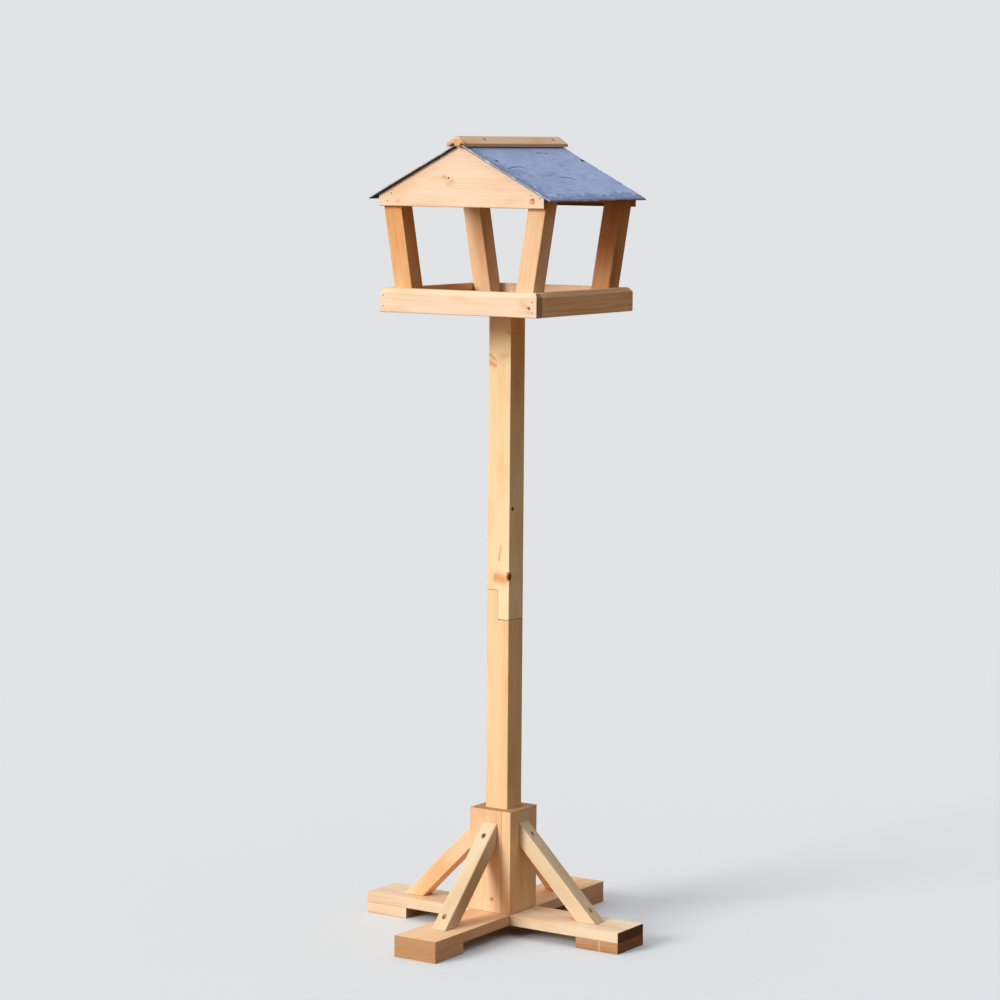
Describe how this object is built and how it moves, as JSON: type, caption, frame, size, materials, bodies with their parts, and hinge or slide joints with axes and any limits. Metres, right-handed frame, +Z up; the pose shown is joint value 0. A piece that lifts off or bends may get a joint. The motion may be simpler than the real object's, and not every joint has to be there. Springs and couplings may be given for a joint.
{
  "type": "bird table",
  "caption": "Garden bird table with a slate gable roof over a rimmed tray on leaning uprights, on a square post socketed in a braced cross foot.",
  "frame": {"origin": "on the ground, on the vertical axis of the post, midway between the ends of the cross foot", "axes": "+Z up along the post; -Y is the front, towards a gable and the long rim board; +X is the right, towards a slate's eave"},
  "size_m": [0.509, 0.524, 1.3434],
  "materials": {
    "pale_pine": "planed pale softwood, clear treated, satin",
    "warm_pine": "planed honey-coloured softwood, clear treated, satin",
    "cap_pine": "moulded softwood, a shade darker, satin",
    "slate": "riven blue-grey roofing slate with dressed edges, matte",
    "screw_steel": "passivated steel, dulled",
    "nail_steel": "dark weathered galvanised steel"
  },
  "bodies": {
    "base": {"cross_beam_side": "pale_pine", "cross_beam_deep": "pale_pine", "foot_block_right": "warm_pine", "foot_block_back": "warm_pine", "foot_block_left": "warm_pine", "foot_block_front": "warm_pine", "socket_board_right": "warm_pine", "socket_board_back": "warm_pine", "socket_board_left": "warm_pine", "socket_board_front": "warm_pine", "brace_right": "pale_pine", "brace_back": "warm_pine", "brace_left": "warm_pine", "brace_front": "pale_pine", "brace_screw_right_top": "screw_steel", "brace_screw_right_foot": "screw_steel", "brace_screw_back_top": "screw_steel", "brace_screw_back_foot": "screw_steel", "brace_screw_left_top": "screw_steel", "brace_screw_left_foot": "screw_steel", "brace_screw_front_top": "screw_steel", "brace_screw_front_foot": "screw_steel"},
    "post_and_table": {"post_upper": "pale_pine", "tray_board_front": "pale_pine", "tray_board_back": "pale_pine", "gable_front": "pale_pine", "gable_back": "pale_pine", "post_lower": "warm_pine", "tray_board_right": "warm_pine", "tray_board_left": "warm_pine", "tray_floor_front": "warm_pine", "tray_floor_middle": "warm_pine", "tray_floor_back": "warm_pine", "tray_bearer_right": "warm_pine", "tray_bearer_left": "warm_pine", "upright_front_right": "warm_pine", "upright_front_left": "warm_pine", "upright_back_right": "warm_pine", "upright_back_left": "warm_pine", "ridge_rail": "warm_pine", "rafter_front_right": "warm_pine", "rafter_front_left": "warm_pine", "rafter_back_right": "warm_pine", "rafter_back_left": "warm_pine", "ridge_cap": "cap_pine", "slate_right": "slate", "slate_left": "slate", "lap_screw_low": "screw_steel", "lap_screw_high": "screw_steel", "post_head_screw_front": "screw_steel", "post_head_screw_back": "screw_steel", "cap_screw_right_near": "screw_steel", "cap_screw_right_far": "screw_steel", "cap_screw_left_near": "screw_steel", "cap_screw_left_far": "screw_steel", "slate_nail_right_near": "nail_steel", "slate_nail_right_far": "nail_steel", "slate_nail_left_near": "nail_steel", "slate_nail_left_far": "nail_steel"}
  },
  "joints": [
    {"name": "post_lift", "type": "slide", "parent": "base", "child": "post_and_table", "axis": [0, 0, 1], "range_m": [0, 0.18]}
  ]
}
